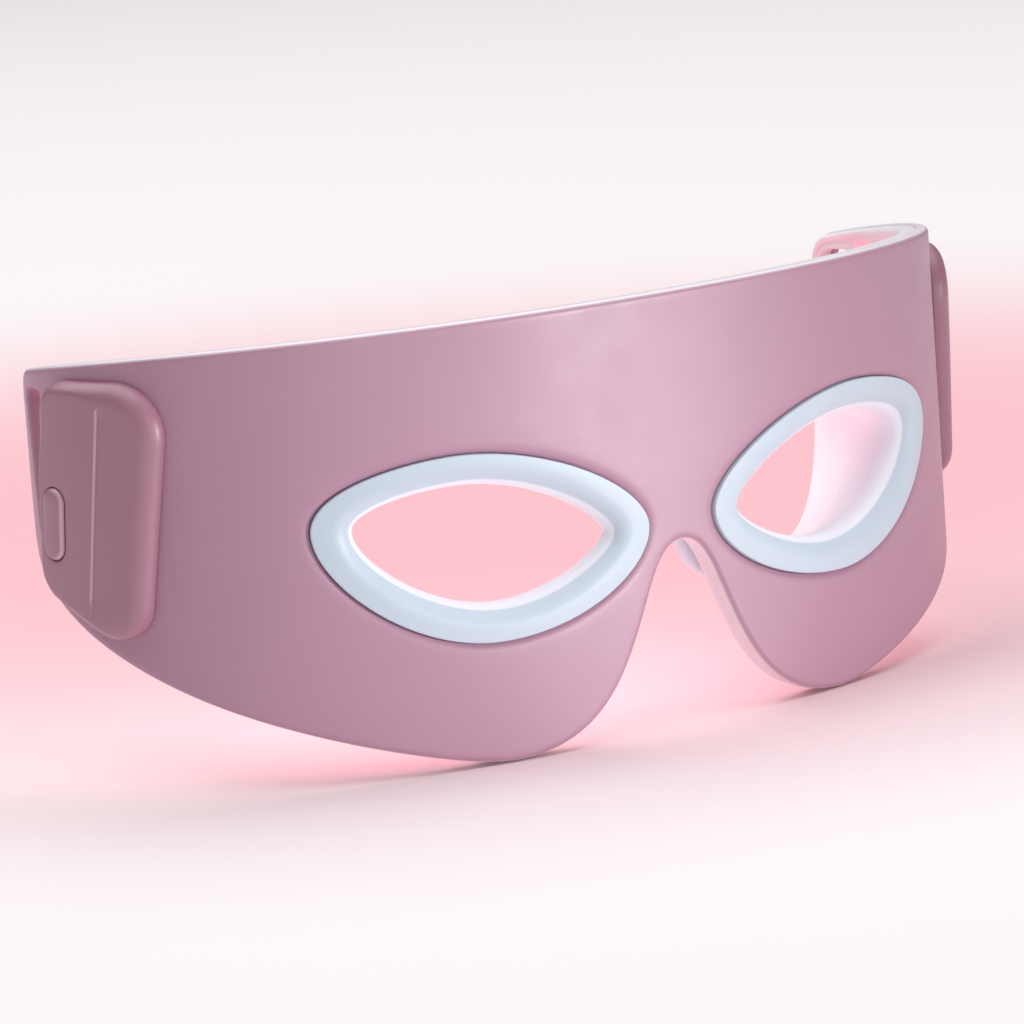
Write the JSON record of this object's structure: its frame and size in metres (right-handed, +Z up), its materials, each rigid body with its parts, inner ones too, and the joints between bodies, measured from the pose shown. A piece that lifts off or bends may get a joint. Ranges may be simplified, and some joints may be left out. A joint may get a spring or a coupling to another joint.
{
  "type": "light eye mask",
  "caption": "Wrap-around silicone light and massage eye mask with almond eye shields, side pods, a push button and strap slots.",
  "frame": {"origin": "on the inner face at the bridge, on the mask's middle plane, level with the wearer's eyes", "axes": "+X towards the wearer's left, -Y out of the front of the mask, +Z up; the arms run back along +Y"},
  "size_m": [0.1709, 0.0584, 0.067],
  "materials": {
    "shell_silicone": "satin mauve silicone",
    "liner_silicone": "translucent pink silicone",
    "shield_silicone": "satin cool white silicone",
    "pod_plastic": "satin mauve",
    "black_plastic": "satin",
    "white_plastic": "satin",
    "flex_circuit": "satin amber film",
    "circuit_board": "satin solder mask",
    "led_package": "clear epoxy lens",
    "black_epoxy": "matte",
    "connector_steel": "bright",
    "motor_steel": "satin",
    "cell_pouch": "crinkled foil",
    "rotor_metal": "satin sintered weight"
  },
  "bodies": {
    "mask": {"outer_shell": "shell_silicone", "inner_liner": "liner_silicone", "right_eye_shield": "shield_silicone", "left_eye_shield": "shield_silicone", "right_led_board": "flex_circuit", "left_led_board": "flex_circuit", "bridge_ribbon": "flex_circuit", "control_pod_cover": "pod_plastic", "battery_pod_cover": "pod_plastic", "control_pod_tray": "black_plastic", "battery_pod_tray": "black_plastic", "control_board": "circuit_board", "battery_board": "circuit_board", "controller_chip": "black_epoxy", "charger_chip": "black_epoxy", "boost_inductor": "black_epoxy", "usb_c_socket": "connector_steel", "button_switch_body": "black_plastic", "battery_cell": "cell_pouch", "right_led_01": "led_package", "right_led_02": "led_package", "right_led_03": "led_package", "right_led_04": "led_package", "right_led_05": "led_package", "right_led_06": "led_package", "right_led_07": "led_package", "right_led_08": "led_package", "right_led_09": "led_package", "right_led_10": "led_package", "left_led_01": "led_package", "left_led_02": "led_package", "left_led_03": "led_package", "left_led_04": "led_package", "left_led_05": "led_package", "left_led_06": "led_package", "left_led_07": "led_package", "left_led_08": "led_package", "left_led_09": "led_package", "left_led_10": "led_package", "right_vibration_motor_case": "motor_steel", "right_vibration_motor_base": "circuit_board", "right_vibration_motor_shaft": "motor_steel", "left_vibration_motor_case": "motor_steel", "left_vibration_motor_base": "circuit_board", "left_vibration_motor_shaft": "motor_steel"},
    "button": {"power_button": "pod_plastic"},
    "switch_plunger": {"button_switch_plunger": "white_plastic"},
    "right_rotor": {"right_vibration_motor_rotor": "rotor_metal"},
    "left_rotor": {"left_vibration_motor_rotor": "rotor_metal"}
  },
  "joints": [
    {"name": "power_button_press", "type": "slide", "parent": "mask", "child": "button", "axis": [0.9957, 0.0923, 0], "range_m": [0, 0.00045], "stiffness_N_per_m": 1500},
    {"name": "switch_plunger_press", "type": "slide", "parent": "mask", "child": "switch_plunger", "axis": [0.9527, 0.3038, 0], "range_m": [0, 0.00045]},
    {"name": "right_motor_spin", "type": "hinge", "parent": "mask", "child": "right_rotor", "pos_m": [-0.07914, 0.02826, 0.0209], "axis": [-0.918, -0.3966, 0], "continuous": true},
    {"name": "left_motor_spin", "type": "hinge", "parent": "mask", "child": "left_rotor", "pos_m": [0.08051, 0.03202, -0.0016], "axis": [0.9581, -0.2865, 0], "continuous": true}
  ],
  "couplings": [
    {"joint": "switch_plunger_press", "follows": "power_button_press", "ratio": 1}
  ]
}
